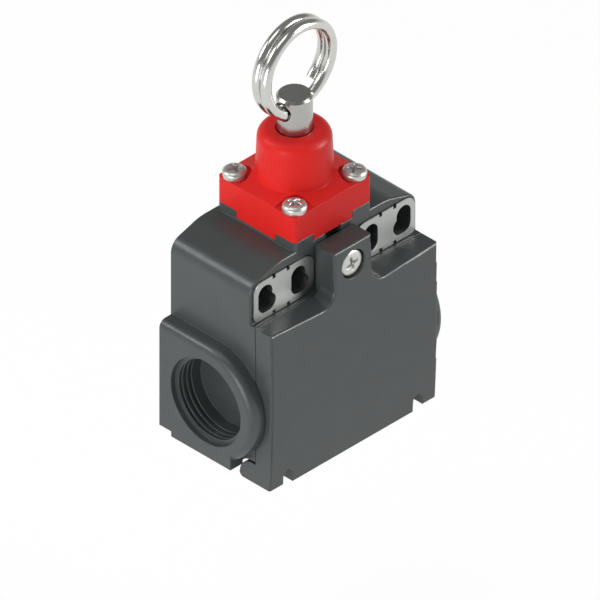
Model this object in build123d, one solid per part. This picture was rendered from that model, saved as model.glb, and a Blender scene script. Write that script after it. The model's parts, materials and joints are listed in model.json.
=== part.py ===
from build123d import *
import os

# A rope pull switch: a moulded housing with a hinged front cover, a red head on its top with a
# spring loaded pull pin and a split ring, and a contact block with two bridges inside.
# Millimetres. X runs across the switch, Y from the cover to the mounting face, Z up.
# The origin lies on the mounting face, midway between the fixing slots.

# All screws and joints
head_dome = 0.55          # rounded share of a screw head's height
recess_arm = 1.2          # cross recess across, for each millimetre of the head's radius
recess_blade = 0.27
recess_sink = 0.6         # recess's share of the head's height
tip_chamfer = 0.4         # for each millimetre of the shank's radius
body_gap = 0.05           # between fixed neighbours
free_gap = 0.2            # round a shank or stem that passes freely
near = 0.01               # tolerance for picking an edge by its place

# Housing
width = 50.5              # across the housing, without the conduit bosses
depth = 30.0              # mounting face to the lower and upper edge of the cover's front
below_slots = 45.3        # slot line down to the lowest edge of the cover
above_slots = 8.5         # slot line up to the flat of the housing's top
base_lift = 4.2           # lowest edge of the cover up to the housing's underside
side_wall = 2.75
back_wall = 2.5
floor_wall = 4.6
rim_setback = 4.4         # cover's front back to the housing's rim
ear_setback = 5.9         # cover's front back to the face round the fixing plates
shoulder_drop = 3.9       # slot line down to the shoulders of the cover
rim_top = 2.6             # height of the rim above the cavity
arch_run = 8.75           # side of the housing in to the level part of its top
arch_drop = 2.63          # fall of the top from its level part out to the side
arch_round = 3.4
arch_blend = 12.0
cavity_round = 2.0
edge_round = 0.5

# Cover
cover_wall = 2.4
crown = 0.75              # bulge of the front at half height
seam_gap = 0.15           # between the cover's rim and the housing's rim
tab_width = 11.4
tab_top = 7.8             # slot line up to the top of the tab
tab_gap = 0.3             # behind the tab
shoulder_fall = 1.4       # fall of the shoulders' front edge towards the tab
shoulder_fillet = 3.8
foot_width = 4.1
foot_lift = 0.6           # lowest edge of the cover up to the feet
foot_heel = 3.9           # hinge axis back to the heel of the foot
foot_round = 3.8          # round of the foot about the hinge axis
foot_relief = 0.6         # housing's clearance round the foot
heel_round = 1.2
notch_width = 2.9
notch_height = 4.0
hinge_setback = 5.2       # cover's front back to the hinge axis
hinge_height = 1.9        # lowest edge of the cover up to the hinge axis
hinge_pin_r = 1.1
hinge_lug_r = 1.7
hinge_side_gap = 0.3
lug_root = 0.5            # lug's reach up into the housing's floor
running_gap = 0.06        # radial clearance of a pin that turns
gasket_width = 1.1
gasket_depth = 1.0
gasket_round = 2.5
gasket_drop = 0.65        # cavity's floor down to the gasket's edge

# Cover screw
screw_height = 2.8        # slot line up to the cover screw
cover_screw_r = 1.65
cover_screw_head_r = 3.2
cover_screw_head_h = 2.0
cover_screw_sink = 0.3    # head's face below the edge of the cover's front
cover_screw_tip = 11.3    # cover's front back to the screw's tip
recess_gap = 0.3          # round the head
screw_swing_gap = 0.5     # round the shank, so that the cover can swing with its screw
retainer_r = 2.9
retainer_t = 0.9

# Fixing slots and plates
hole_inset = 5.25         # side of the housing in to the outer holes
inner_hole = 10.0
slot_shift = 1.0          # hole's centre out to the slot's centre
slot_rise = 1.3           # hole's centre up to the slot's centre
slot_width = 4.3
slot_length = 7.0
hole_gap = 0.35           # housing's hole larger than the plate's, all round
plate_inner = 6.35        # centre of the switch to the plate's inner edge
plate_inset = 0.8         # side of the housing in to the plate's outer edge
plate_low = 3.7           # slot line down to the plate's lower edge
plate_high = 6.2
plate_t = 1.5
plate_proud = 0.4
plate_round_top = 2.8
plate_round_low_inner = 3.6
plate_round_low_outer = 1.6
plate_gap = 0.1
notch_mark_w = 0.9
notch_mark_h = 0.8
tongue_width = 3.4
tongue_shift = 0.2        # middle between the slots out to the tongue's middle
tongue_t = 1.2
tongue_length = 3.0

# Conduit bosses
boss_proud = 3.9
boss_r = 14.3
boss_round = 1.8
conduit_y = 14.5          # mounting face to the conduit's axis
conduit_z = 26.8          # slot line down to the conduit's axis
conduit_major_r = 10.2
conduit_minor_r = 9.6
conduit_mouth_r = 10.6
conduit_mouth = 1.4
conduit_depth = 8.0
thread_pitch = 1.41
thread_turns = 3
thread_land = 0.6         # width of each crest
membrane_t = 1.0
conduit_inner_wall = 2.0  # wall round the thread inside the cavity
boss_block_front = 22.0   # mounting face to the front of the square lower block
boss_back_gap = 0.4
boss_step = 1.3
boss_step_depth = 4.0

# Head
head_side = 23.5
post_side = 5.87
pedestal_top = 8.95       # slot line up to the floor between the posts
post_top = 10.7
head_edge = 17.3          # slot line up to the top edge of the block
head_slope = 0.3          # rise of the block's top for each millimetre inwards
roof_run = 5.54           # edge of the block in to where its roof turns level
head_corner_round = 1.0
turret_base_r = 8.6
turret_top_r = 8.1
turret_top = 30.1
turret_round = 2.5
head_wall_top = 2.1       # thickness of the turret's top
pocket_side = 6.2
pocket_round = 3.5
head_screw_inset = 2.65
head_screw_r = 1.45
head_screw_head_r = 2.75
head_screw_head_h = 2.2
head_screw_length = 9.8
ring_seal_r = 7.4
ring_seal_section = 0.5
tab_slot_width = 4.7
tab_slot_depth = 2.5
tab_slot_height = 2.6

# Pull mechanism
travel = 5.0
pin_r = 4.0
pin_top = 38.9
pin_chamfer = 0.5
eye_height = 35.7         # slot line up to the cross hole
eye_r = 2.25
bush_r = 6.0
bush_length = 8.6
seal_length = 2.5
slide_gap = 0.05
channel_r = 5.6
channel_floor = 1.0       # slot line down to the floor of the spring's channel
flange_r = 3.4
flange_t = 1.2
collar_r = 5.4
collar_t = 1.2
stem_r = 2.0
stem_screw_length = 7.5
stem_neck_r = 1.2
stem_neck_length = 2.5
stem_button_t = 2.0
return_spring_wire = 1.0
return_spring_r = 4.75
return_spring_turns = 7

# Pull ring
ring_wire = 2.5
ring_r = 10.6
ring_pitch = 2.55
ring_start = -317.0       # degrees from the eye, where the wire begins
ring_end = 328.0
ring_sag = 0.39           # wire's centre below the eye's centre

# Contact block
block_half = 14.5
block_forward = 7.15      # head's axis to the front of the block
block_standoff = 0.5
block_headroom = 3.0      # cavity's top down to the block
block_roof = 2.5
block_floor = 1.4
chamber_half = 7.2
chamber_behind = 2.6      # head's axis back to the chamber's wall
divider = 1.2
pad_half_height = 3.5
pad_inner = 8.4
pad_outer = 14.0
pad_t = 1.2
pad_forward = 1.05        # head's axis to the back of the screw pads
arm_inner = 4.3
arm_t = 1.0
arm_width = 4.0
arm_roof_gap = 1.0
arm_overlap = 0.8
tip_x = 5.4
tip_r = 1.2
tip_t = 0.6
moving_tip_t = 0.5
bridge_half = 6.7
bridge_width = 3.6
bridge_t = 0.6
bridge_spring_length = 4.25
bridge_spring_wire = 0.4
bridge_spring_r = 1.3
bridge_spring_turns = 5
window_slack = 0.3
plunger_x = 6.8
plunger_y = 6.4
plunger_top_gap = 0.9     # plunger's top above the block
guide_gap = 0.1
plunger_floor_gap = 0.4
plunger_bore_r = 1.9
plunger_spring_wire = 0.4
plunger_spring_r = 1.4
plunger_spring_turns = 7
plunger_spring_length = 6.0
well_depth = 5.6          # chamber's floor down to the floor of the plunger's well
clamp_side = 5.4
clamp_t = 1.0
terminal_screw_r = 1.45
terminal_head_r = 2.6
terminal_head_h = 2.0
terminal_screw_reach = 3.0
block_screw_r = 1.45
block_screw_x = 11.4
block_screw_head_r = 2.75
block_screw_head_h = 2.0
seat_behind = 2.85        # head's axis back to the seat of the block's screws
block_screw_tip = 1.0     # mounting face to the screw's tip
block_boss_r = 3.2
lid_half = 8.2
lid_t = 1.0
lid_rib = 0.8

# Places that follow from the sizes
half = width / 2
flat_top_half = half - arch_run
outer_hole = half - hole_inset
plate_outer = half - plate_inset
tongue_mid = (outer_hole + inner_hole) / 2 + slot_shift + tongue_shift
tongue_from = tongue_mid - tongue_width / 2
tongue_to = tongue_mid + tongue_width / 2
y_rim = rim_setback - depth
y_ear = ear_setback - depth
z_low = -below_slots
z_floor = z_low + base_lift
z_shoulder = -shoulder_drop
z_cavity_low = z_floor + floor_wall
z_cavity_top = z_shoulder - rim_top
cavity_half = half - side_wall
y_cover_back = y_rim - seam_gap
hinge_y = hinge_setback - depth
hinge_z = z_low + hinge_height
foot_inner = half - foot_width
notch_inner = foot_inner - notch_width
axis_y = y_ear + head_side / 2
post_inner = head_side / 2 - post_side
screw_offset = head_side / 2 - head_screw_inset
z_channel = -channel_floor
z_flange = z_channel + body_gap
z_collar = z_flange + flange_t
z_pin = z_collar + collar_t
z_seal_top = turret_top - head_wall_top
z_bush_top = z_seal_top - seal_length
z_bush = z_bush_top - bush_length
z_block = z_cavity_top - block_headroom
z_chamber = z_block - block_roof
z_no_arm = z_chamber - arm_roof_gap
z_no_bridge = z_no_arm - arm_t - tip_t - travel - body_gap - moving_tip_t
z_bridge_gap = z_no_bridge - bridge_t
z_nc_bridge = z_bridge_gap - bridge_spring_length
z_nc_arm = z_nc_bridge - bridge_t - moving_tip_t - body_gap - tip_t
z_chamber_low = z_nc_arm - arm_t - body_gap
z_well = z_chamber_low - well_depth
z_block_low = z_well - block_floor
z_plunger = z_block + plunger_top_gap
z_plunger_low = z_well + plunger_floor_gap
z_button = z_plunger - block_roof - stem_button_t
y_block_back = -(back_wall + block_standoff)
y_block_front = axis_y - block_forward
y_chamber = axis_y + chamber_behind
y_pad = axis_y - pad_forward
y_seat_block = axis_y + seat_behind
z_pad_upper = z_no_arm + arm_t / 2 - pad_half_height + arm_t
z_pad_lower = z_nc_arm - arm_t / 2 - pad_half_height + arm_t
z_block_screw = (z_pad_upper + z_pad_lower) / 2
sides = (-1, 1)


def block(x0, x1, y0, y1, z0, z1):
    """A box between two corners, given in any order along each axis."""
    centre = Pos((x0 + x1) / 2, (y0 + y1) / 2, (z0 + z1) / 2)
    return centre * Box(abs(x1 - x0), abs(y1 - y0), abs(z1 - z0))


def rod_x(x0, x1, y, z, r):
    return Pos((x0 + x1) / 2, y, z) * Rot(0, 90, 0) * Cylinder(r, abs(x1 - x0))


def rod_y(x, y0, y1, z, r):
    return Pos(x, (y0 + y1) / 2, z) * Rot(90, 0, 0) * Cylinder(r, abs(y1 - y0))


def rod_z(x, y, z0, z1, r):
    return Pos(x, y, (z0 + z1) / 2) * Cylinder(r, abs(z1 - z0))


def from_front(sketch, y_back, y_front):
    """Extrude a sketch of the front view between two planes across Y."""
    return Pos(0, y_back, 0) * extrude(Plane.XZ * sketch, y_back - y_front)


def from_side(sketch, x0, x1):
    """Extrude a sketch of the side view, drawn in Y and Z, between two planes across X."""
    return Pos(x0, 0, 0) * extrude(Plane.YZ * sketch, x1 - x0)


def outline(*points):
    return make_face(Polyline(*points, close=True))


def coil(x, y, z0, z1, mean_r, wire, turns):
    """A compression spring that just reaches its two seats."""
    height = z1 - z0 - wire
    path = Helix(height / turns, height, mean_r)
    section = Plane(origin=path @ 0, z_dir=path % 0) * Circle(wire / 2)
    return Pos(x, y, z0 + wire / 2) * sweep(section, path, is_frenet=True)


def pan_screw(head_r, head_h, shank_r, length):
    """A pan head screw with a cross recess, its seat at the origin and its shank along -Z."""
    head = fillet(Cylinder(head_r, head_h).edges().group_by(Axis.Z)[-1], head_h * head_dome)
    head = Pos(0, 0, head_h / 2) * head
    arm, blade, deep = head_r * recess_arm, head_r * recess_blade, head_h * recess_sink
    recess = block(-arm / 2, arm / 2, -blade / 2, blade / 2, head_h - deep, head_h)
    recess += block(-blade / 2, blade / 2, -arm / 2, arm / 2, head_h - deep, head_h)
    shank = chamfer(Cylinder(shank_r, length).edges().group_by(Axis.Z)[0], shank_r * tip_chamfer)
    return head - recess + Pos(0, 0, -length / 2) * shank


def slot_sketch(grow):
    """The four keyhole slots in the front view, larger by grow all round."""
    sketch = Sketch()
    for side in sides:
        for hole_x in (outer_hole, inner_hole):
            sketch += Pos(side * hole_x, 0) * Circle(slot_width / 2 + grow)
            slot = SlotOverall(slot_length + 2 * grow, slot_width + 2 * grow, rotation=90)
            sketch += Pos(side * (hole_x + slot_shift), slot_rise) * slot
    return sketch


def plate_sketch(side, grow):
    """Outline of one fixing plate in the front view, larger by grow all round."""
    x0, x1 = plate_inner - grow, plate_outer + grow
    z0, z1 = -plate_low - grow, plate_high + grow
    face = outline((x0, z0), (x1, z0), (x1, z1), (x0, z1))
    low, high = face.vertices().group_by(Axis.Y)[0], face.vertices().group_by(Axis.Y)[-1]
    face = fillet(high, plate_round_top)
    low = face.vertices().group_by(Axis.Y)[0].sort_by(Axis.X)
    face = fillet(low[0], plate_round_low_inner)
    corner = face.vertices().group_by(Axis.Y)[0].sort_by(Axis.X)[-1]
    face = fillet(corner, plate_round_low_outer)
    return face if side > 0 else mirror(face, Plane.YZ)


def tongues(side, grow):
    """The two tongues of a fixing plate, bent back into the housing."""
    y0, y1 = y_ear - plate_proud + plate_t, y_ear - plate_proud + plate_t + tongue_length
    x0, x1 = side * (tongue_from - grow), side * (tongue_to + grow)
    upper = block(x0, x1, y0, y1 + grow, plate_high - tongue_t - grow, plate_high + grow)
    lower = block(x0, x1, y0, y1 + grow, -plate_low - grow, -plate_low + tongue_t + grow)
    return upper + lower


def housing_sketch():
    """Front view of the housing: straight sides, a level top that falls away to the sides."""
    top_side = above_slots - arch_drop
    face = outline((-half, z_floor), (half, z_floor), (half, top_side), (flat_top_half, above_slots),
                   (-flat_top_half, above_slots), (-half, top_side))
    face = fillet([v for v in face.vertices() if abs(v.Y - top_side) < near], arch_round)
    return fillet([v for v in face.vertices() if abs(v.Y - above_slots) < near], arch_blend)


def conduit_boss():
    """Boss of the right conduit entry, solid: a round front, a level top and a square lower block."""
    y_back = -boss_back_gap
    round_part = Pos(-conduit_y, -conduit_z) * Circle(boss_r)
    round_part += outline((-conduit_y, -conduit_z - boss_r), (boss_r, -conduit_z - boss_r),
                          (boss_r, boss_r - conduit_z), (-conduit_y, boss_r - conduit_z))
    boss = from_side(round_part, half - boss_proud, half + boss_proud)
    rim = boss.edges().filter_by(lambda e: e.center().X > half + boss_proud - near)
    boss = fillet(rim.filter_by(lambda e: e.center().Y < boss_r - near), boss_round)
    boss &= block(0, half + boss_proud, -depth, y_back, z_floor, 0)
    boss += block(half - boss_proud, half + boss_proud, -boss_block_front, y_back, z_floor, -conduit_z)
    boss -= block(half, half + boss_proud, -boss_step_depth, 0, z_floor, z_floor + boss_step)
    boss -= block(0, half + seam_gap, y_rim, -depth - crown, -below_slots, 0)
    return boss & block(half - side_wall / 2, half + boss_proud, -depth, 0, z_floor, 0)


def conduit_bore():
    """Space inside the right conduit entry: mouth, thread roots and crests."""
    x1 = half + boss_proud
    bore = rod_x(x1 - conduit_depth, x1, -conduit_y, -conduit_z, conduit_minor_r)
    bore += rod_x(x1 - conduit_mouth, x1, -conduit_y, -conduit_z, conduit_mouth_r)
    root = (thread_pitch - thread_land) / 2
    for turn in range(thread_turns):
        x = x1 - conduit_mouth - thread_pitch * (turn + 0.5)
        v = make_face(Polyline((x - root, 0), (x - root, conduit_minor_r), (x - root / 3, conduit_major_r),
                               (x + root / 3, conduit_major_r), (x + root, conduit_minor_r),
                               (x + root, 0), close=True))
        bore += Pos(0, -conduit_y, -conduit_z) * revolve(v, Axis.X)
    return bore


def hinge_lug():
    """Right hinge lug under the housing, bored for the cover's pin."""
    x0, x1 = notch_inner + hinge_side_gap, foot_inner - hinge_side_gap
    lug = rod_x(x0, x1, hinge_y, hinge_z, hinge_lug_r)
    lug += block(x0, x1, y_rim, hinge_y + hinge_lug_r, hinge_z, z_floor + lug_root)
    return lug - rod_x(x0, x1, hinge_y, hinge_z, hinge_pin_r + running_gap)


def make_housing():
    body = from_front(housing_sketch(), 0, y_rim)
    body -= block(-half, half, y_rim, y_ear, z_shoulder, above_slots)
    front_edge = body.edges().filter_by(lambda e: abs(e.center().Y - y_ear) < near)
    front_edge = front_edge.filter_by(lambda e: e.center().Z > z_shoulder + near)
    body = fillet(front_edge, edge_round)
    cavity = block(-cavity_half, cavity_half, -back_wall, y_rim, z_cavity_low, z_cavity_top)
    body -= fillet(cavity.edges().filter_by(Axis.Y), cavity_round)

    pedestal = block(-head_side / 2, head_side / 2, y_ear, y_ear + head_side, 0, post_top)
    pedestal = fillet(pedestal.edges().filter_by(Axis.Z), head_corner_round)
    for span_x, span_y in ((head_side, 2 * post_inner), (2 * post_inner, head_side)):
        pedestal -= block(-span_x / 2, span_x / 2, axis_y - span_y / 2, axis_y + span_y / 2,
                          pedestal_top, post_top)
    body += pedestal
    body -= block(-tab_slot_width / 2, tab_slot_width / 2, y_ear, y_ear + tab_slot_depth,
                  above_slots - tab_slot_height, pedestal_top)

    entry = conduit_boss()
    inner_r = conduit_major_r + conduit_inner_wall
    x_membrane = half + boss_proud - conduit_depth
    inner = rod_x(x_membrane - membrane_t, half - side_wall / 2, -conduit_y, -conduit_z, inner_r)
    inner &= block(0, half, y_rim, 0, z_floor, 0)
    entry = entry + inner - conduit_bore()
    clear = conduit_bore()
    for piece in (entry, mirror(entry, Plane.YZ)):
        body += piece
    body = body - clear - mirror(clear, Plane.YZ)

    heel = foot_round + foot_relief
    relief = rod_x(foot_inner - hinge_side_gap / 2, half + seam_gap, hinge_y, hinge_z, heel)
    lug = hinge_lug()
    body = body - relief - mirror(relief, Plane.YZ) + lug + mirror(lug, Plane.YZ)

    for x in (-block_screw_x, block_screw_x):
        body += rod_y(x, -back_wall / 2, y_block_back, z_block_screw, block_boss_r)
        body -= rod_y(x, -block_screw_tip, y_block_back, z_block_screw, block_screw_r + body_gap)

    body -= from_front(slot_sketch(hole_gap), 0, y_ear)
    for side in sides:
        y_seat = y_ear - plate_proud + plate_t
        body -= from_front(plate_sketch(side, plate_gap), y_seat, y_ear - plate_proud)
        body -= tongues(side, plate_gap)

    body -= rod_z(0, axis_y, z_channel, post_top, channel_r)
    body -= rod_z(0, axis_y, z_cavity_top, z_channel, stem_r + free_gap)
    rise = travel + plunger_top_gap + 2 * guide_gap - block_headroom
    body -= block(-plunger_x / 2 - recess_gap, plunger_x / 2 + recess_gap,
                  axis_y - plunger_y / 2 - recess_gap, axis_y + plunger_y / 2 + recess_gap,
                  z_cavity_top, z_cavity_top + rise)
    groove = Pos(0, axis_y, pedestal_top) * Cylinder(ring_seal_r + ring_seal_section + body_gap,
                                                    4 * ring_seal_section)
    groove -= Pos(0, axis_y, pedestal_top) * Cylinder(ring_seal_r - ring_seal_section - body_gap,
                                                     4 * ring_seal_section)
    body -= groove
    hole_end = head_edge - head_screw_length - 2 * body_gap
    for sx in sides:
        for sy in sides:
            body -= rod_z(sx * screw_offset, axis_y + sy * screw_offset, hole_end, post_top,
                          head_screw_r + body_gap)
    tip = cover_screw_tip - depth + running_gap
    body -= rod_y(0, tip, y_ear, screw_height, cover_screw_r + screw_swing_gap)
    return body


def cover_face(fall, fillet_r):
    """Front view of the cover above its lower part; the shoulders fall towards the tab."""
    tab = tab_width / 2
    split = z_shoulder - 2 * shoulder_fillet
    points = [(half, split), (half, z_shoulder), (tab, z_shoulder - fall), (tab, tab_top)]
    left = [(-x, z) for x, z in reversed(points)]
    face = outline(*points, *left)
    inner = [v for v in face.vertices() if abs(abs(v.X) - tab) < near and v.Y < 0]
    return fillet(inner, fillet_r)


def make_cover():
    split = z_shoulder - 2 * shoulder_fillet
    y_front = -depth - crown
    front_face = Plane.XZ.offset(-y_front) * cover_face(shoulder_fall, shoulder_fillet)
    back_face = Plane.XZ.offset(-y_cover_back) * cover_face(0, shoulder_fillet - shoulder_fall)
    upper = loft([back_face, front_face], ruled=True)
    lower = block(-half, half, y_cover_back, y_front, z_low, split)
    tab = tab_width / 2
    lower += block(-tab, tab, y_ear - tab_gap, y_cover_back, z_shoulder, tab_top)
    cover = upper + lower

    middle = (tab_top + z_low) / 2
    front_line = ThreePointArc((-depth, z_low), (-depth - crown, middle), (-depth, tab_top))
    side = make_face(Curve() + [front_line, Polyline((-depth, tab_top), (0, tab_top), (0, z_low),
                                                     (-depth, z_low))])
    cover &= from_side(side, -half, half)
    for x0, x1 in ((foot_inner, half), (-half, -foot_inner)):
        cover -= block(x0, x1, y_cover_back, y_front, z_low, z_low + foot_lift)
    front_edges = cover.faces().sort_by(Axis.Y)[0].edges()
    cover = fillet(front_edges.filter_by(lambda e: e.center().Z > z_low + foot_lift + edge_round), edge_round)

    arch = notch_width / 2
    for side_x in sides:
        x = side_x * (foot_inner - arch)
        cover -= block(x - arch, x + arch, y_cover_back, y_front, z_low, z_low + notch_height - arch)
        cover -= rod_y(x, y_cover_back, y_front, z_low + notch_height - arch, arch)

    z_sole = z_low + foot_lift
    y_foot = y_cover_back - cover_wall / 2
    z_top = z_floor + foot_round
    foot = Pos(hinge_y, hinge_z) * Circle(foot_round)
    foot += outline((y_foot, z_sole), (hinge_y + foot_heel, z_sole), (hinge_y + foot_heel, hinge_z),
                    (y_foot, hinge_z))
    foot &= outline((y_foot, z_sole), (hinge_y + foot_heel, z_sole), (hinge_y + foot_heel, z_top),
                    (y_foot, z_top))
    foot = from_side(foot, foot_inner, half)
    heel = [e for e in foot.edges().filter_by(Axis.X)
            if abs(e.center().Y - hinge_y - foot_heel) < near and abs(e.center().Z - z_sole) < near]
    foot = fillet(heel, heel_round)
    pin = rod_x(notch_inner + 2 * hinge_side_gap, foot_inner + foot_width / 4, hinge_y, hinge_z, hinge_pin_r)
    foot += pin
    cover = cover + foot + mirror(foot, Plane.YZ)

    pocket = block(-cavity_half, cavity_half, y_cover_back, cover_wall - depth, z_cavity_low, z_cavity_top)
    cover -= fillet(pocket.edges().filter_by(Axis.Y), cavity_round)
    cover -= gasket_ring(body_gap)
    seat = cover_screw_sink + cover_screw_head_h - depth
    cover -= rod_y(0, seat, y_front, screw_height, cover_screw_head_r + recess_gap)
    cover -= rod_y(0, y_ear - tab_gap, y_front, screw_height, cover_screw_r + running_gap)
    cover -= rod_y(0, y_ear - tab_gap, y_ear - tab_gap - retainer_t - body_gap, screw_height,
                   retainer_r + body_gap)
    return cover


def gasket_ring(grow):
    """Flat rubber ring in the cover's rim, larger by grow in its section."""
    mid_x = (half + cavity_half) / 2
    z0 = z_cavity_low - gasket_width / 2 - gasket_drop
    z1 = (z_shoulder + z_cavity_top) / 2
    centre = Pos(0, (z0 + z1) / 2)
    wide = gasket_width / 2 + grow
    ring = centre * RectangleRounded(2 * (mid_x + wide), z1 - z0 + 2 * wide, gasket_round + wide)
    ring -= centre * RectangleRounded(2 * (mid_x - wide), z1 - z0 - 2 * wide, gasket_round - wide)
    return from_front(ring, y_rim - body_gap, y_cover_back - gasket_depth - grow)


def make_cover_screw():
    seat = cover_screw_sink + cover_screw_head_h - depth
    length = cover_screw_tip - depth - seat
    screw = pan_screw(cover_screw_head_r, cover_screw_head_h, cover_screw_r, length)
    return Pos(0, seat, screw_height) * Rot(90, 0, 0) * screw


def make_retainer():
    y0 = y_ear - tab_gap
    ring = rod_y(0, y0, y0 - retainer_t, screw_height, retainer_r)
    return ring - rod_y(0, y0, y0 - retainer_t, screw_height, cover_screw_r + running_gap / 2)


def make_fixing_plate(side):
    y_front = y_ear - plate_proud
    plate = from_front(plate_sketch(side, 0), y_front + plate_t, y_front)
    plate -= from_front(slot_sketch(0), y_front + plate_t, y_front)
    for x in (tongue_from - notch_mark_w / 2, tongue_to + notch_mark_w / 2):
        for z in (plate_high, -plate_low):
            plate -= block(side * x - notch_mark_w / 2, side * x + notch_mark_w / 2,
                           y_front, y_front + plate_t, z - notch_mark_h, z + notch_mark_h)
    return plate + tongues(side, 0)


def make_head():
    h = head_side / 2
    head = block(-h, h, axis_y - h, axis_y + h, post_top + body_gap, head_edge)
    head = fillet(head.edges().filter_by(Axis.Z), head_corner_round)
    rise = head_slope * roof_run
    low = Pos(0, axis_y, head_edge) * Rectangle(2 * h, 2 * h)
    high = Pos(0, axis_y, head_edge + rise) * Rectangle(2 * (h - roof_run), 2 * (h - roof_run))
    roof = loft([low, high], ruled=True)
    side = pocket_side
    for sx in sides:
        for sy in sides:
            x0, y0 = sx * (h - side), axis_y + sy * (h - side)
            cut = block(x0, sx * h, y0, axis_y + sy * h, head_edge, head_edge + 2 * rise)
            inner = [e for e in cut.edges().filter_by(Axis.Z)
                     if abs(e.center().X - x0) < near and abs(e.center().Y - y0) < near]
            roof -= fillet(inner, pocket_round)
    head += roof
    tall = turret_top - head_edge
    turret = Pos(0, axis_y, head_edge + tall / 2) * Cone(turret_base_r, turret_top_r, tall)
    turret = fillet(turret.edges().group_by(Axis.Z)[-1], turret_round)
    head += turret
    cross = post_inner - body_gap
    z0 = pedestal_top + body_gap
    head += block(-h, h, axis_y - cross, axis_y + cross, z0, post_top + body_gap)
    head += block(-cross, cross, axis_y - h, axis_y + h, z0, post_top + body_gap)
    head -= rod_z(0, axis_y, z0, z_seal_top, bush_r + body_gap)
    head -= rod_z(0, axis_y, z_seal_top, turret_top, pin_r + free_gap)
    for sx in sides:
        for sy in sides:
            head -= rod_z(sx * screw_offset, axis_y + sy * screw_offset, post_top, head_edge,
                          head_screw_r + free_gap)
    return head


def make_head_screws():
    screw = pan_screw(head_screw_head_r, head_screw_head_h, head_screw_r, head_screw_length)
    spots = [(sx * screw_offset, axis_y + sy * screw_offset) for sx in sides for sy in sides]
    return [Pos(x, y, head_edge) * screw for x, y in spots]


def make_pull_pin():
    pin = rod_z(0, axis_y, z_pin, pin_top, pin_r)
    pin = chamfer(pin.edges().group_by(Axis.Z)[-1], pin_chamfer)
    pin -= rod_x(-pin_r, pin_r, axis_y, eye_height, eye_r)
    return pin - rod_z(0, axis_y, z_pin, z_pin + stem_screw_length + 4 * body_gap, stem_r + body_gap)


def make_stem():
    stem = rod_z(0, axis_y, z_button, z_pin + stem_screw_length, stem_r)
    stem += rod_z(0, axis_y, z_flange, z_collar, flange_r)
    z_neck = z_button + stem_button_t
    neck = rod_z(0, axis_y, z_neck, z_neck + stem_neck_length, stem_r)
    neck -= rod_z(0, axis_y, z_neck, z_neck + stem_neck_length, stem_neck_r)
    return stem - neck


def make_collar():
    ring = rod_z(0, axis_y, z_collar, z_pin, collar_r)
    return ring - rod_z(0, axis_y, z_collar, z_pin, stem_r + body_gap)


def make_pull_ring():
    """Split ring: a helix about Y whose lowest point lies in the eye of the pin."""
    turns = (ring_end - ring_start) / 360
    helix = Helix(ring_pitch, ring_pitch * turns, ring_r)
    section = Plane(origin=helix @ 0, z_dir=helix % 0) * Circle(ring_wire / 2)
    wire = sweep(section, helix, is_frenet=True)
    centre_z = eye_height - ring_sag + ring_r
    # The helix starts on +X and climbs along Z: it is turned to start at ring_start, then laid
    # down so that it climbs towards the cover.
    wire = Rot(90, 0, 0) * Rot(0, 0, ring_start - 90) * wire
    return Pos(0, axis_y - ring_pitch * ring_start / 360, centre_z) * wire


def make_bush():
    bush = rod_z(0, axis_y, z_bush, z_bush_top, bush_r)
    return bush - rod_z(0, axis_y, z_bush, z_bush_top, pin_r + slide_gap)


def make_wiper():
    seal = rod_z(0, axis_y, z_bush_top + body_gap, z_seal_top, bush_r)
    return seal - rod_z(0, axis_y, z_bush_top + body_gap, z_seal_top, pin_r + slide_gap)


def make_head_gasket():
    z = pedestal_top - ring_seal_section + body_gap
    return Pos(0, axis_y, z) * Torus(ring_seal_r, ring_seal_section)


def pad_level(z_arm):
    """Middle height of the screw pad that belongs to a contact arm."""
    return z_pad_upper if z_arm == z_no_arm else z_pad_lower


def make_terminal(side, z_arm):
    """One terminal: an arm into the chamber and an upright pad for its screw."""
    z_mid = pad_level(z_arm)
    y_mid = axis_y
    arm = block(side * arm_inner, side * (pad_inner + arm_overlap), y_mid - arm_width / 2,
                y_mid + arm_width / 2, z_arm - arm_t, z_arm)
    pad = block(side * pad_inner, side * pad_outer, y_pad, y_pad - pad_t,
                z_mid - pad_half_height, z_mid + pad_half_height)
    x = side * (pad_inner + pad_outer) / 2
    return arm + pad - rod_y(x, y_pad, y_pad - pad_t, z_mid, terminal_screw_r + body_gap)


def screw_spots():
    x = (pad_inner + pad_outer) / 2
    return [(side * x, z) for side in sides for z in (z_pad_upper, z_pad_lower)]


def make_block_base():
    base = block(-block_half, block_half, y_block_back, y_block_front, z_block_low, z_block)
    base -= block(-chamber_half, chamber_half, y_chamber, y_block_front, z_chamber_low, z_chamber)
    hole_x, hole_y = plunger_x / 2 + guide_gap, plunger_y / 2 + guide_gap
    base -= block(-hole_x, hole_x, axis_y - hole_y, axis_y + hole_y, z_well, z_block)
    pocket_half = pad_half_height + 3 * body_gap
    for side in sides:
        for z_arm in (z_no_arm, z_nc_arm):
            z = pad_level(z_arm)
            base -= block(side * (chamber_half + divider), side * block_half, y_pad, y_block_front,
                          z - pocket_half, z + pocket_half)
            base -= block(side * chamber_half, side * (pad_inner + arm_overlap + body_gap),
                          axis_y + arm_width / 2 + body_gap, y_block_front,
                          z_arm - arm_t - body_gap, z_arm + body_gap)
    for x, z in screw_spots():
        base -= rod_y(x, y_pad, y_pad + terminal_screw_reach + body_gap, z,
                      terminal_screw_r + body_gap)
    for x in (-block_screw_x, block_screw_x):
        base -= rod_y(x, y_seat_block, y_block_front, z_block_screw, block_screw_head_r + recess_gap)
        base -= rod_y(x, y_block_back, y_seat_block, z_block_screw, block_screw_r + 2 * body_gap)
    return base


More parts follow.
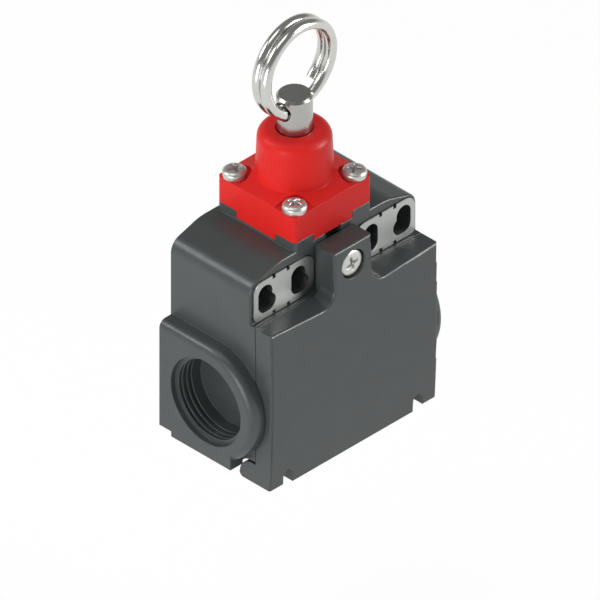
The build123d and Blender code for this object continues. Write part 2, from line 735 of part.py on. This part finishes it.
def make_lid():
    z0, z1 = z_chamber_low - divider, z_chamber + divider
    lid = block(-lid_half, lid_half, y_block_front, y_block_front - lid_t, z0, z1)
    lid = fillet(lid.edges().filter_by(Axis.Y), divider)
    rib = chamber_half - body_gap
    return lid + block(-rib, rib, y_block_front, y_block_front + lid_rib,
                       z_chamber_low + body_gap, z_chamber - body_gap)


def make_block_screws():
    length = -y_seat_block - block_screw_tip
    screw = pan_screw(block_screw_head_r, block_screw_head_h, block_screw_r, length)
    return [Pos(x, y_seat_block, z_block_screw) * Rot(90, 0, 0) * screw
            for x in (-block_screw_x, block_screw_x)]


def make_terminal_screws():
    y_seat = y_pad - pad_t - clamp_t
    length = pad_t + clamp_t + terminal_screw_reach
    screw = pan_screw(terminal_head_r, terminal_head_h, terminal_screw_r, length)
    return [Pos(x, y_seat, z) * Rot(90, 0, 0) * screw for x, z in screw_spots()]


def make_clamp_plates():
    s, y0 = clamp_side / 2, y_pad - pad_t
    return [block(x - s, x + s, y0, y0 - clamp_t, z - s, z + s)
            - rod_y(x, y0, y0 - clamp_t, z, terminal_screw_r + body_gap) for x, z in screw_spots()]


def make_plunger():
    hx, hy = plunger_x / 2, plunger_y / 2
    plunger = block(-hx, hx, axis_y - hy, axis_y + hy, z_plunger_low, z_plunger)
    slot = stem_neck_r + 2 * guide_gap
    plunger -= block(-slot, slot, axis_y - hy, axis_y, z_button, z_plunger)
    plunger -= rod_z(0, axis_y, z_button, z_plunger, slot)
    wide = stem_r + 2 * guide_gap
    z0, z1 = z_button - 2 * guide_gap, z_button + stem_button_t + 2 * guide_gap
    plunger -= block(-wide, wide, axis_y - hy, axis_y, z0, z1) + rod_z(0, axis_y, z0, z1, wide)
    slack = bridge_width / 2 + guide_gap
    plunger -= block(-hx, hx, axis_y - slack, axis_y + slack,
                     z_nc_bridge - bridge_t - window_slack, z_no_bridge + body_gap)
    return plunger - rod_z(0, axis_y, z_plunger_low, z_well + plunger_spring_length, plunger_bore_r)


def make_bridge(z_top):
    """A flat contact bridge with round corners, its top at z_top."""
    bridge = block(-bridge_half, bridge_half, axis_y - bridge_width / 2, axis_y + bridge_width / 2,
                   z_top - bridge_t, z_top)
    return fillet(bridge.edges().filter_by(Axis.Z), bridge_width / 3)


def make_tips(z0, z1):
    return [rod_z(side * tip_x, axis_y, z0, z1, tip_r) for side in sides]


def make_fixed_tips():
    z = z_no_arm - arm_t
    return make_tips(z - tip_t, z) + make_tips(z_nc_arm, z_nc_arm + tip_t)


z_nc_tip = z_nc_bridge - bridge_t
nodes = {
    "housing_body": make_housing(),
    "cover": make_cover(),
    "cover_gasket": gasket_ring(0),
    "cover_screw": make_cover_screw(),
    "cover_screw_retainer": make_retainer(),
    "fixing_plate_left": make_fixing_plate(-1),
    "fixing_plate_right": make_fixing_plate(1),
    "head_block": make_head(),
    "head_screws": make_head_screws(),
    "head_gasket": make_head_gasket(),
    "pull_pin": make_pull_pin(),
    "pull_ring": make_pull_ring(),
    "pin_wiper_seal": make_wiper(),
    "guide_bush": make_bush(),
    "return_spring": coil(0, axis_y, z_pin, z_bush, return_spring_r, return_spring_wire,
                          return_spring_turns),
    "spring_collar": make_collar(),
    "pull_stem": make_stem(),
    "contact_block_base": make_block_base(),
    "contact_block_lid": make_lid(),
    "contact_block_screws": make_block_screws(),
    "contact_plunger": make_plunger(),
    "no_bridge": make_bridge(z_no_bridge),
    "nc_bridge": make_bridge(z_nc_bridge),
    "no_bridge_tips": make_tips(z_no_bridge, z_no_bridge + moving_tip_t),
    "nc_bridge_tips": make_tips(z_nc_tip - moving_tip_t, z_nc_tip),
    "bridge_spring": coil(0, axis_y, z_nc_bridge, z_bridge_gap, bridge_spring_r, bridge_spring_wire,
                          bridge_spring_turns),
    "plunger_spring": coil(0, axis_y, z_well, z_well + plunger_spring_length, plunger_spring_r,
                           plunger_spring_wire, plunger_spring_turns),
    "no_terminal_left": make_terminal(-1, z_no_arm),
    "no_terminal_right": make_terminal(1, z_no_arm),
    "nc_terminal_left": make_terminal(-1, z_nc_arm),
    "nc_terminal_right": make_terminal(1, z_nc_arm),
    "fixed_contact_tips": make_fixed_tips(),
    "clamp_plates": make_clamp_plates(),
    "terminal_screws": make_terminal_screws(),
}

os.makedirs("parts", exist_ok=True)
for name, shape in nodes.items():
    piece = Compound(children=shape) if isinstance(shape, list) else shape
    export_step(piece, f"parts/{name}.step")
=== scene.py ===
import json
from math import pi, radians

import bpy
import numpy as np
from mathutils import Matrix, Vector


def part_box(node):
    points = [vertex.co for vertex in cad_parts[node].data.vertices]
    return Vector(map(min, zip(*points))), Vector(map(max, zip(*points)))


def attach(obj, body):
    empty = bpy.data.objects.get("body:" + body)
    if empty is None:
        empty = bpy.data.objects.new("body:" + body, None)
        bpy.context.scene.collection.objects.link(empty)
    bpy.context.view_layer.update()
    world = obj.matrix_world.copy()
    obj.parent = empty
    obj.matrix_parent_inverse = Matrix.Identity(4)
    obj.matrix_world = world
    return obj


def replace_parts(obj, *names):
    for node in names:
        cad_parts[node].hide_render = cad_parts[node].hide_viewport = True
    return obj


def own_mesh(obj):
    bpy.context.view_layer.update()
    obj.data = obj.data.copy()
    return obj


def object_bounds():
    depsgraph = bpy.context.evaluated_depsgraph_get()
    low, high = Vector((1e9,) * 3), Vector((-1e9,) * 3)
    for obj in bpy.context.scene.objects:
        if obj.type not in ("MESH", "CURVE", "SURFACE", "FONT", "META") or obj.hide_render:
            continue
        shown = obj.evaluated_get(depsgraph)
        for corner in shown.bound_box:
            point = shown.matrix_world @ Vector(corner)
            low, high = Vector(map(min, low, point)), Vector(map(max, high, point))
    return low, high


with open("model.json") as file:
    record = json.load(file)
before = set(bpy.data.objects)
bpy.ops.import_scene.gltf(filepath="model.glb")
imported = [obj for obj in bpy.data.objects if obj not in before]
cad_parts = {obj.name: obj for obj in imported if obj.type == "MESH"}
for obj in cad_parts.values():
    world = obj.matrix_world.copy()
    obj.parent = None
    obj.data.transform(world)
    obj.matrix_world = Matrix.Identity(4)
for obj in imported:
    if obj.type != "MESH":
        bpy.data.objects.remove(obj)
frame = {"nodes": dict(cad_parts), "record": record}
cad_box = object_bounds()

# A rope pull switch. Lengths are in metres, and mm stands for one millimetre.
mm = 0.001

# Places taken from the construction
pin_low, pin_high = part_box("pull_pin")
ring_low, ring_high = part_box("pull_ring")
screws_low, screws_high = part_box("head_screws")
cover_screw_low, cover_screw_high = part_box("cover_screw")
spring_low, spring_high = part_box("return_spring")
pull_axis_y = (pin_low.y + pin_high.y) / 2
switch_middle = (cad_box[0] + cad_box[1]) / 2

# Split ring: its wire, its winding, and its ends as angles from the pin's eye
wire_r = 1.25 * mm
wire_end_round = 0.25 * mm
ring_pitch = 2.55 * mm
ring_start = radians(-317)
ring_end = radians(328)
ring_steps = 420
wire_end_steps = 5
wire_sides = 40

# Return spring: its winding, and how its closed turns open
spring_wire_r = 0.5 * mm
spring_open_turns = 5.5
closed_pitch = 2.04 * spring_wire_r
opens_after_turns = 0.75
opens_over_turns = 0.5
spring_steps = 560
spring_sides = 20

# Pan head screws. Each ..._top is the height of the head in the construction, down to its seat.
head_screw_top = 2.2 * mm
head_screw = {"head_r": 2.75 * mm, "head_h": 1.95 * mm, "rim_h": 0.95 * mm, "crown": 4.0,
              "shank_r": 1.45 * mm, "recess_r": 1.7 * mm, "recess_deep": 1.5 * mm}
head_screw_turns = (0.15, -0.35, 0.6, 0.05)
cover_screw_top = 2.0 * mm
cover_screw = {"head_r": 3.2 * mm, "head_h": 2.3 * mm, "rim_h": 1.7 * mm, "crown": 6.0,
               "shank_r": 1.65 * mm, "recess_r": 1.9 * mm, "recess_deep": 1.5 * mm}
cover_screw_turn = 0.26

# Cross recess: half width of a wing, its narrowing outwards, and the slopes of walls and floor
recess_wing = 0.5 * mm
wing_narrowing = 0.25
recess_steep = 4.5
floor_steep = 1.5

# Screws below the crown
head_edge_round = 0.12 * mm
neck_share = 1.02
thread_start = 0.05 * mm
thread_pitch = 0.7 * mm
thread_deep = 0.3 * mm
tip_length = 0.5 * mm
tip_share = 0.62

# Fineness of the screws' surfaces
screw_sides = 112
recess_rows = 27
crown_rows = 17
head_edge_rows = 4
rows_per_pitch = 6
innermost_row = 0.02

# Marks of the finishes, in features per metre
mould_flow = 160
mould_sheen = 900
mould_grain = 5200
metal_clouds = 500

# Nearly all of a noise lies between these levels, and moves the roughness by so much or so far.
noise_low = 0.3
noise_high = 0.7
mould_sheen_drop = 0.03
mould_sheen_rise = 0.04
polish_low = 0.8
polish_high = 1.25
edge_samples = 6

# Camera: an upright isometric view, 128.95 mm wide at the switch
view_width = 128.95 * mm
view_aim = Vector((0.83, -13.18, -15.6)) * mm
view_look = Vector((1, 1, -1)).normalized()
camera_distance = 0.8
camera_clip = (0.01, 10)

# The floor lies low enough for the open cover to hang clear of it.
floor_level = cad_box[0].z - 60 * mm
floor_r = 2.5
floor_middle = 0.02
floor_rows = 24
floor_sides = 64
floor_colour = (0.88, 0.88, 0.87)
floor_glow = 1.05
floor_glow_share = 0.85

# Daylight that reaches the switch, and what its gloss sees from the horizon up
daylight = (0.44, 0.44, 0.45)
horizon_height = 0.02
ceiling_height = 0.30
horizon_level = 1.0
ceiling_level = 0.32

# Lamps: name, direction from the switch, distance, side, radiance, seen in gloss only
lamps = (
    ("overhead", (-0.25, 0.1, 1), 0.7, 0.36, 2.0, False),
    ("back_left", (-1, 1, 1), 0.6, 0.30, 2.0, False),
    ("front_right", (1, -1, 1), 0.6, 0.26, 3.2, False),
    ("left", (-1, -0.2, 0.05), 0.6, 0.30, 5.9, False),
    ("edge_front", (1.25, -1.37, 0.4), 0.5, 0.16, 32.0, True),
    ("edge_back", (-1, 1, 1), 0.5, 0.18, 5.5, True),
)


def new_object(name, mesh, body):
    """A visible piece that moves with its body."""
    obj = bpy.data.objects.new(name, mesh)
    bpy.context.scene.collection.objects.link(obj)
    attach(obj, body)
    return obj


def grid_mesh(name, points, caps=(True, True)):
    """Mesh of a grid of points P(u, v), an array of rows by columns by 3.

    The last column joins the first. caps says whether the first and the last row are closed by a
    face. Faces point along dP/du x dP/dv.
    """
    rows, cols = points.shape[:2]
    index = np.arange(rows * cols).reshape(rows, cols)
    index = np.hstack([index, index[:, :1]])
    quads = np.stack([index[:-1, :-1], index[1:, :-1], index[1:, 1:], index[:-1, 1:]], axis=-1)
    faces = quads.reshape(-1, 4).tolist()
    if caps[0]:
        faces.append(index[0, :cols].tolist())
    if caps[1]:
        faces.append(index[-1, :cols][::-1].tolist())
    mesh = bpy.data.meshes.new(name)
    mesh.from_pydata(points.reshape(-1, 3).tolist(), [], faces)
    mesh.polygons.foreach_set("use_smooth", np.ones(len(mesh.polygons), bool))
    mesh.update()
    return mesh


def sharpen(mesh, degrees=60):
    """Edges that turn more than this many degrees stay sharp, the rest are shaded smooth."""
    mesh.set_sharp_from_angle(angle=radians(degrees))
    return mesh


def wire_skin(line, along, radial, r, sides):
    """Skin of a round wire: line + r (cos a N + sin a B), N radial, B = N x T square to it."""
    side = np.cross(radial, along)
    a = np.linspace(0, 2 * pi, sides, endpoint=False)[None, :, None]
    return line[:, None] + r[:, None, None] * (
        np.cos(a) * radial[:, None] + np.sin(a) * side[:, None])


def split_ring_surface():
    """Split ring: a round wire wound nearly twice.

    The centreline is P(t) = C + R (sin t, 0, -cos t) - (0, pitch t / 2 pi, 0), t measured from the
    eye of the pin. The wire's radius r(t) runs in along a quarter circle at both ends, so the cut
    ends have a small round.
    """
    ring_r = (ring_high.x - ring_low.x) / 2 - wire_r
    centre = np.array([0, pull_axis_y, (ring_low.z + ring_high.z) / 2])
    turn = np.linspace(0, pi / 2, wire_end_steps)
    step_in = wire_end_round * (1 - np.cos(turn)) / ring_r
    radius_in = wire_r - wire_end_round * (1 - np.sin(turn))
    between = np.linspace(ring_start, ring_end, ring_steps)[1:-1]
    t = np.concatenate([ring_start + step_in, between, ring_end - step_in[::-1]])
    r = np.concatenate([radius_in, np.full(len(between), wire_r), radius_in[::-1]])

    along = np.stack([np.cos(t), np.full_like(t, -ring_pitch / (2 * pi * ring_r)), np.sin(t)], -1)
    along /= np.linalg.norm(along, axis=1, keepdims=True)
    radial = np.stack([np.sin(t), 0 * t, -np.cos(t)], -1)
    rise = np.stack([0 * t, ring_pitch * t / (2 * pi), 0 * t], -1)
    return wire_skin(centre + ring_r * radial - rise, along, radial, r, wire_sides)


def screw_surface(head_r, head_h, rim_h, crown, shank_r, recess_r, recess_deep, length):
    """Pan head screw: seat at z = 0, head above it, threaded shank along -z.

    Crown: z(r) = rim + (h - rim) (1 - (r / R)^crown)^0.5, less the cross recess. With p along a
    wing and q across it, the recess is as deep as the least of the full depth, the rising floor
    floor_steep deep (1 - |p| / reach) and the wall recess_steep (wing (1 - narrowing |p| / reach)
    - |q|), and the deeper of the two arms counts. Thread: r(z, a) = r0 - deep |2 frac(z / pitch +
    a / 2 pi) - 1|, run out at the head and at the tip. Rows run from the crown's middle down to
    the tip, columns round it.
    """
    a = np.linspace(0, 2 * pi, screw_sides, endpoint=False)[None]
    inner = np.linspace(innermost_row, 1, recess_rows) * recess_r
    outer = recess_r + (head_r - recess_r) * np.sin(np.linspace(0, pi / 2, crown_rows))[1:]
    r = np.concatenate([inner, outer])[:, None]
    p, q = r * np.cos(a), r * np.sin(a)
    dome = rim_h + (head_h - rim_h) * np.sqrt(np.clip(1 - (r / head_r) ** crown, 0, 1))
    cut = np.zeros_like(p)
    for along, across in ((np.abs(p), np.abs(q)), (np.abs(q), np.abs(p))):
        floor = recess_deep * (1 - along / recess_r) * floor_steep
        wall = recess_steep * (recess_wing * (1 - wing_narrowing * along / recess_r) - across)
        cut = np.maximum(cut, np.minimum(np.minimum(floor, wall), recess_deep))
    crown_rings = np.stack([p, q, dome - cut], -1)

    turn = np.linspace(0, pi / 2, head_edge_rows)
    edge_r = head_r - head_edge_round * (1 - np.cos(turn))
    edge_z = head_edge_round * (1 - np.sin(turn))

    level = np.linspace(-thread_start, tip_length - length,
                        int(rows_per_pitch * length / thread_pitch))
    run_out = np.minimum(1, np.minimum(-level, level + length) / thread_pitch)[:, None]
    groove = np.abs(2 * ((level[:, None] / thread_pitch + a / (2 * pi)) % 1) - 1)
    thread_r = shank_r - thread_deep * run_out * groove

    round_ = np.ones_like(a)
    radius = np.concatenate([edge_r[:, None] * round_, neck_share * shank_r * round_, thread_r,
                             tip_share * shank_r * round_])
    z = np.concatenate([edge_z, [0], level, [-length]])[:, None] * round_
    shank_rings = np.stack([radius * np.cos(a), radius * np.sin(a), z], -1)
    return np.concatenate([crown_rings, shank_rings])


def spring_surface(mean_r, length):
    """Compression spring with a closed turn at each end, about the z axis from z = 0.

    The line is (R cos t, R sin t, z(t)). z climbs by closed_pitch a turn all along. What is still
    missing to the length is shared out over the open turns, in proportion to s(t), which is 0 in
    the closed turns, 1 in the open ones and runs as 3 x^2 - 2 x^3 between them.
    """
    t = np.linspace(0, 2 * pi * (spring_open_turns + 2), spring_steps)
    turns_from_end = np.minimum(t, t[-1] - t) / (2 * pi)
    share = np.clip((turns_from_end - opens_after_turns) / opens_over_turns, 0, 1)
    share = share ** 2 * (3 - 2 * share)
    z_closed = t / (2 * pi) * closed_pitch
    z_open = np.concatenate([[0], np.cumsum((share[1:] + share[:-1]) / 2)])
    height = length - 2 * spring_wire_r
    z = spring_wire_r + z_closed + z_open * (height - z_closed[-1]) / z_open[-1]

    line = np.stack([mean_r * np.cos(t), mean_r * np.sin(t), z], -1)
    along = np.gradient(line, axis=0)
    along /= np.linalg.norm(along, axis=1, keepdims=True)
    radial = np.stack([np.cos(t), np.sin(t), 0 * t], -1)
    return wire_skin(line, along, radial, np.full_like(t, spring_wire_r), spring_sides)


def node(tree, kind, **values):
    made = tree.nodes.new(kind)
    for key, value in values.items():
        setattr(made, key, value)
    return made


def link(tree, source, target):
    tree.links.new(source, target)


def calculate(tree, operation, first, second):
    """A math node; first is a socket, second a socket or a number."""
    made = node(tree, "ShaderNodeMath", operation=operation)
    link(tree, first, made.inputs[0])
    if isinstance(second, float):
        made.inputs[1].default_value = second
    else:
        link(tree, second, made.inputs[1])
    return made.outputs[0]


def material(name, colour, roughness, metallic=0.0, **sockets):
    """A Principled material whose uniform values sit on the shader's own sockets."""
    mat = bpy.data.materials.new(name)
    mat.use_nodes = True
    shader = mat.node_tree.nodes["Principled BSDF"]
    shader.inputs["Base Color"].default_value = (*colour, 1)
    shader.inputs["Roughness"].default_value = roughness
    shader.inputs["Metallic"].default_value = metallic
    for socket, value in sockets.items():
        shader.inputs[socket.replace("_", " ")].default_value = value
    return mat


def shader_input(mat, socket):
    return mat.node_tree.nodes["Principled BSDF"].inputs[socket]


def object_noise(mat, scale, detail=3, stretch=(1, 1, 1)):
    """Noise on Object coordinates; scale counts features per metre, stretch makes it grain."""
    tree = mat.node_tree
    place = node(tree, "ShaderNodeTexCoord")
    mapping = node(tree, "ShaderNodeMapping")
    mapping.inputs["Scale"].default_value = stretch
    noise = node(tree, "ShaderNodeTexNoise")
    noise.inputs["Scale"].default_value = scale
    noise.inputs["Detail"].default_value = detail
    link(tree, place.outputs["Object"], mapping.inputs["Vector"])
    link(tree, mapping.outputs["Vector"], noise.inputs["Vector"])
    return noise.outputs["Fac"]


def vary_colour(mat, signal, colour, spread):
    """Base colour runs from colour less spread to colour plus spread with the signal."""
    ramp = node(mat.node_tree, "ShaderNodeValToRGB")
    for stop, place, share in zip(ramp.color_ramp.elements, (noise_low, noise_high), (-1, 1)):
        stop.position = place
        stop.color = (*[c * (1 + share * spread) for c in colour], 1)
    link(mat.node_tree, signal, ramp.inputs["Fac"])
    link(mat.node_tree, ramp.outputs["Color"], shader_input(mat, "Base Color"))


def vary_roughness(mat, signal, low, high):
    """Roughness runs from low to high with the signal."""
    spread = node(mat.node_tree, "ShaderNodeMapRange")
    spread.inputs["From Min"].default_value = noise_low
    spread.inputs["From Max"].default_value = noise_high
    spread.inputs["To Min"].default_value = low
    spread.inputs["To Max"].default_value = high
    link(mat.node_tree, signal, spread.inputs["Value"])
    link(mat.node_tree, spread.outputs["Result"], shader_input(mat, "Roughness"))


def soft_edges(mat, radius):
    """Normals that shade the edges of a piece as if they were rounded by this radius."""
    bevel = node(mat.node_tree, "ShaderNodeBevel", samples=edge_samples)
    bevel.inputs["Radius"].default_value = radius
    return bevel.outputs["Normal"]


def add_grain(mat, signal, depth, edge):
    """Bump of this depth along the signal, over soft edges where edge isn't nought."""
    bump = node(mat.node_tree, "ShaderNodeBump")
    if edge:
        link(mat.node_tree, soft_edges(mat, edge), bump.inputs["Normal"])
    bump.inputs["Distance"].default_value = depth
    link(mat.node_tree, signal, bump.inputs["Height"])
    link(mat.node_tree, bump.outputs["Normal"], shader_input(mat, "Normal"))


def moulded(name, colour, roughness, spread=0.05, grain_depth=0.004 * mm, edge=0.3 * mm,
            **sockets):
    """Moulded plastic: faint flow marks in the colour and the fine eroded grain of its mould."""
    mat = material(name, colour, roughness, **sockets)
    vary_colour(mat, object_noise(mat, mould_flow, 4), colour, spread)
    vary_roughness(mat, object_noise(mat, mould_sheen), roughness - mould_sheen_drop,
                   roughness + mould_sheen_rise)
    add_grain(mat, object_noise(mat, mould_grain, 2), grain_depth, edge)
    return mat


def polished(name, colour, roughness, stretch=(1, 1, 1), depth=0.0004 * mm, scale=3000,
             metallic=1.0, edge=0.0, spread=0.03):
    """Bare metal: fine marks left by drawing, rolling or turning, along the stretched axis."""
    mat = material(name, colour, roughness, metallic=metallic)
    vary_colour(mat, object_noise(mat, metal_clouds, 4, stretch), colour, spread)
    vary_roughness(mat, object_noise(mat, scale, 3, stretch), roughness * polish_low,
                   roughness * polish_high)
    if depth:
        add_grain(mat, object_noise(mat, scale * 2, 2, stretch), depth, edge)
    return mat


def make_finishes():
    """One material for each material slot of the switch."""
    return {
        "housing_grey": moulded("housing_grey", (0.052, 0.061, 0.060), 0.35,
                                Specular_IOR_Level=0.46),
        "head_red": moulded("head_red", (0.72, 0.018, 0.015), 0.40, spread=0.02,
                            Specular_IOR_Level=0.16),
        "bright_steel": polished("pin_steel", (0.42, 0.42, 0.40), 0.22, stretch=(0.2, 0.2, 3),
                                 edge=0.15 * mm),
        "plate_steel": polished("plate_steel", (0.41, 0.42, 0.405), 0.36, depth=0.0,
                                spread=0.012),
        "screw_steel": polished("screw_zinc", (0.57, 0.57, 0.54), 0.31, metallic=0.8, depth=0.0,
                                scale=800),
        "spring_steel": polished("spring_wire", (0.48, 0.48, 0.47), 0.3),
        "brass": polished("contact_brass", (0.72, 0.52, 0.22), 0.28),
        "contact_silver": polished("contact_silver", (0.82, 0.81, 0.78), 0.2),
        "black_rubber": moulded("seal_rubber", (0.018, 0.018, 0.019), 0.7,
                                grain_depth=0.01 * mm),
        "bush_white": moulded("bush_acetal", (0.74, 0.73, 0.68), 0.45),
        "block_black": moulded("block_black", (0.020, 0.020, 0.022), 0.45),
        "plunger_white": moulded("plunger_white", (0.78, 0.77, 0.72), 0.35),
        "lid_clear": moulded("lid_clear", (0.86, 0.90, 0.90), 0.08, spread=0.01,
                             Transmission_Weight=0.9, IOR=1.58),
    }


def dress_solids(finishes):
    for part in frame["record"]["subparts"]:
        mesh = frame["nodes"][part["node"]].data
        mesh.materials.clear()
        mesh.materials.append(finishes[part["material_slot"]])


def build_ring(finish):
    mesh = sharpen(grid_mesh("split_ring", split_ring_surface()))
    mesh.materials.append(finish)
    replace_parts(new_object("split_ring", mesh, "ring"), "pull_ring")


def turned(points, angle):
    """The points turned about the z axis."""
    c, s = np.cos(angle), np.sin(angle)
    return points @ np.array([[c, s, 0], [-s, c, 0], [0, 0, 1]])


def build_head_screws(finish):
    """Four screws, their seats on the floors of the head's pockets."""
    x = screws_high.x - head_screw["head_r"]
    y = (screws_high.y - screws_low.y) / 2 - head_screw["head_r"]
    seat = screws_high.z - head_screw_top
    screw = screw_surface(length=seat - screws_low.z, **head_screw)
    spots = [(sx * x, pull_axis_y + sy * y, seat) for sx in (-1, 1) for sy in (-1, 1)]
    for number, (spot, turn) in enumerate(zip(spots, head_screw_turns), 1):
        mesh = grid_mesh(f"head_screw_{number}", turned(screw, turn) + spot)
        mesh.materials.append(finish)
        obj = new_object(f"head_screw_{number}", mesh, "housing")
        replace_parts(obj, "head_screws")


def build_cover_screw(finish):
    """The screw in the cover's tab: the surface laid down, so that its head looks along -y."""
    seat = cover_screw_low.y + cover_screw_top
    screw = turned(screw_surface(length=cover_screw_high.y - seat, **cover_screw),
                   cover_screw_turn)
    across, up, out = screw[..., 0], screw[..., 1], screw[..., 2]
    middle_z = (cover_screw_low.z + cover_screw_high.z) / 2
    mesh = grid_mesh("tab_screw", np.stack([across, seat - out, middle_z + up], -1))
    mesh.materials.append(finish)
    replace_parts(new_object("tab_screw", mesh, "front_cover"), "cover_screw")


def build_return_spring(finish):
    """The spring round the stem, fixed to the housing, with a mesh of its own."""
    length = spring_high.z - spring_low.z
    surface = spring_surface(spring_high.x - spring_wire_r, length)
    mesh = sharpen(grid_mesh("return_coil", surface + (0, pull_axis_y, spring_low.z)))
    mesh.materials.append(finish)
    coil = new_object("return_coil", mesh, "housing")
    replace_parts(coil, "return_spring")
    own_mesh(coil)


def shine_when_seen(tree, plain, shine, share):
    """Shader that is plain, and for rays from the camera, gloss or glass shine by this share."""
    path = node(tree, "ShaderNodeLightPath")
    seen = path.outputs["Is Camera Ray"]
    for ray in ("Is Glossy Ray", "Is Transmission Ray"):
        seen = calculate(tree, "MAXIMUM", seen, path.outputs[ray])
    mix = node(tree, "ShaderNodeMixShader")
    link(tree, calculate(tree, "MULTIPLY", seen, share), mix.inputs["Fac"])
    link(tree, plain, mix.inputs[1])
    link(tree, shine, mix.inputs[2])
    return mix.outputs[0], path.outputs["Is Camera Ray"]


def make_floor():
    """A pale round floor: rings of points in a plane whose radius grows with the square of u."""
    u = np.linspace(floor_middle, 1, floor_rows)[:, None] ** 2
    v = np.linspace(0, 2 * pi, floor_sides, endpoint=False)
    points = np.stack([switch_middle.x + floor_r * u * np.cos(v),
                       switch_middle.y + floor_r * u * np.sin(v),
                       np.full((floor_rows, floor_sides), floor_level)], -1)
    mesh = grid_mesh("studio_floor", points, caps=(True, False))

    mat = bpy.data.materials.new("pale_floor")
    mat.use_nodes = True
    tree = mat.node_tree
    tree.nodes.clear()
    matte = node(tree, "ShaderNodeBsdfDiffuse")
    matte.inputs["Color"].default_value = (*floor_colour, 1)
    glow = node(tree, "ShaderNodeEmission")
    glow.inputs["Color"].default_value = (1, 1, 1, 1)
    glow.inputs["Strength"].default_value = floor_glow
    surface, _ = shine_when_seen(tree, matte.outputs[0], glow.outputs[0], floor_glow_share)
    link(tree, surface, node(tree, "ShaderNodeOutputMaterial").inputs["Surface"])
    mesh.materials.append(mat)

    floor = bpy.data.objects.new("studio_floor", mesh)
    bpy.context.scene.collection.objects.link(floor)


def make_world():
    """Even daylight for the switch. Gloss sees a white horizon under a dim ceiling."""
    world = bpy.data.worlds.new("studio")
    bpy.context.scene.world = world
    world.use_nodes = True
    tree = world.node_tree
    tree.nodes.clear()
    plain = node(tree, "ShaderNodeBackground")
    plain.inputs["Color"].default_value = (*daylight, 1)
    backdrop = node(tree, "ShaderNodeBackground")

    place = node(tree, "ShaderNodeTexCoord")
    height = node(tree, "ShaderNodeSeparateXYZ")
    link(tree, place.outputs["Generated"], height.inputs[0])
    sky = node(tree, "ShaderNodeMapRange")
    sky.inputs["From Min"].default_value = horizon_height
    sky.inputs["From Max"].default_value = ceiling_height
    sky.inputs["To Min"].default_value = horizon_level
    sky.inputs["To Max"].default_value = ceiling_level
    link(tree, height.outputs["Z"], sky.inputs["Value"])

    surface, from_camera = shine_when_seen(tree, plain.outputs[0], backdrop.outputs[0], 1.0)
    level = calculate(tree, "MAXIMUM", sky.outputs["Result"], from_camera)
    link(tree, level, backdrop.inputs["Strength"])
    link(tree, surface, node(tree, "ShaderNodeOutputWorld").inputs["Surface"])


def softbox(name, direction, distance, side, radiance, gloss_only):
    """A square lamp turned to the switch; radiance is the brightness of its face."""
    lamp = bpy.data.lights.new(name, "AREA")
    lamp.shape = "RECTANGLE"
    lamp.size = lamp.size_y = side
    lamp.energy = radiance * pi * side * side
    obj = bpy.data.objects.new(name, lamp)
    away = Vector(direction).normalized()
    obj.visible_diffuse = not gloss_only
    obj.location = switch_middle + away * distance
    obj.rotation_euler = away.to_track_quat("Z", "Y").to_euler()
    bpy.context.scene.collection.objects.link(obj)


def make_camera():
    data = bpy.data.cameras.new("camera")
    data.type = "ORTHO"
    data.ortho_scale = view_width
    data.clip_start, data.clip_end = camera_clip
    camera = bpy.data.objects.new("camera", data)
    camera.location = view_aim - view_look * camera_distance
    camera.rotation_euler = view_look.to_track_quat("-Z", "Y").to_euler()
    bpy.context.scene.collection.objects.link(camera)
    bpy.context.scene.camera = camera


finishes = make_finishes()
dress_solids(finishes)
build_ring(polished("ring_steel", (0.60, 0.60, 0.57), 0.15))
build_head_screws(finishes["screw_steel"])
build_cover_screw(finishes["screw_steel"])
build_return_spring(finishes["spring_steel"])
make_floor()
make_world()
for lamp in lamps:
    softbox(*lamp)
make_camera()
bpy.context.scene.view_settings.view_transform = "Standard"
